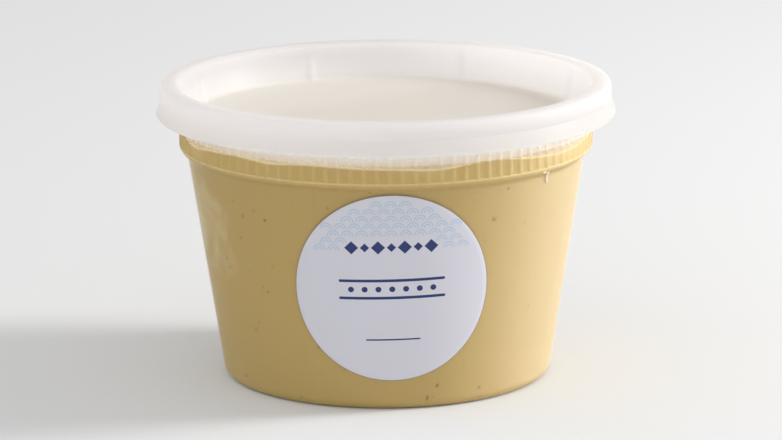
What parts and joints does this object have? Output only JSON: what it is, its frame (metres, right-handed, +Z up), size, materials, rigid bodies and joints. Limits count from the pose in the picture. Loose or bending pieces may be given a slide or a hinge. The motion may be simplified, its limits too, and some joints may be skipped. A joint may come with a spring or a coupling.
{
  "type": "hummus",
  "caption": "Smooth hummus filling a round clear deli tub with a drafted wall and a fluted band, shut with a press-on lid with a sunken panel, and a round label on the wall.",
  "frame": {"origin": "centre of the tub's foot ring, on the surface that it stands on", "axes": "+Z up along the tub's axis, -Y towards the front, which carries the label, +X to the right seen from the front"},
  "size_m": [0.117, 0.117, 0.0758],
  "materials": {
    "tub": "clear, slightly milky polypropylene, glossy",
    "dip": "smooth moist paste with fine dark specks",
    "lid": "milky translucent polypropylene, satin gloss",
    "label": "semi-gloss white sticker with plain navy bars and a pale blue band"
  },
  "bodies": {
    "root": {"tub": "tub", "hummus": "dip", "lid": "lid", "label": "label"}
  },
  "joints": []
}
